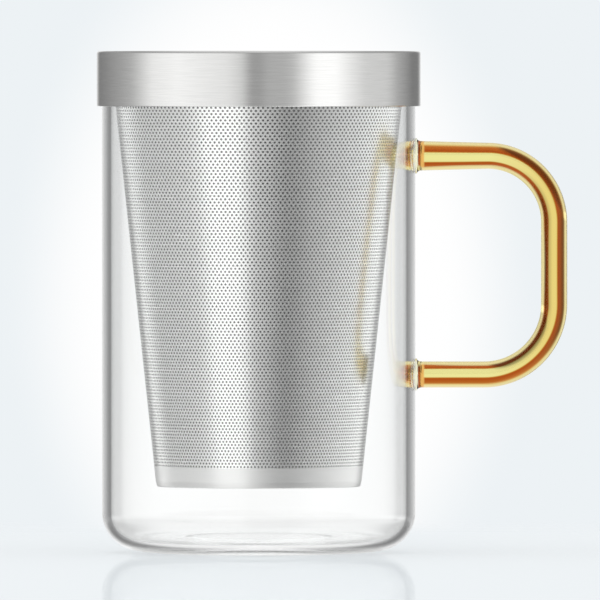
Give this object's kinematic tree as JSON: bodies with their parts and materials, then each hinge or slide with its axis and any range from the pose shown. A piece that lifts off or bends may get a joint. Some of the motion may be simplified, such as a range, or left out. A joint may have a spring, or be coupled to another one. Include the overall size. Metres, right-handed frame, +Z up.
{
  "type": "lidded glass tea mug",
  "caption": "Straight-sided clear glass tea mug with an amber glass loop handle, a lift-out perforated steel infuser and a lift-off brushed steel cap lid.",
  "frame": {"origin": "centre of the glass foot, on the plane the mug stands on", "axes": "+Z up along the mug's axis, +X from the axis towards the handle, +Y away from the viewer of the picture"},
  "size_m": [0.1276, 0.0878, 0.136],
  "materials": {
    "clear_glass": "polished clear borosilicate",
    "amber_glass": "polished honey-coloured solid rod",
    "infuser_steel": "satin drawn sheet",
    "infuser_mesh": "satin perforated sheet",
    "lid_steel": "brushed around the skirt and over the top",
    "liner_plastic": "moulded, natural white",
    "seal_silicone": "translucent white silicone"
  },
  "bodies": {
    "cup": {"glass_cup": "clear_glass", "handle": "amber_glass", "upper_weld": "amber_glass", "lower_weld": "amber_glass"},
    "infuser": {"infuser_rim": "infuser_steel", "infuser_wall": "infuser_mesh", "infuser_base": "infuser_steel", "infuser_floor": "infuser_mesh"},
    "lid": {"lid_cap": "lid_steel", "lid_liner": "liner_plastic", "lid_seal": "seal_silicone"}
  },
  "joints": [
    {"name": "infuser_lift", "type": "slide", "parent": "cup", "child": "infuser", "axis": [0, 0, 1], "range_m": [0, 0.12]},
    {"name": "lid_lift", "type": "slide", "parent": "infuser", "child": "lid", "axis": [0, 0, 1], "range_m": [0, 0.06]}
  ]
}
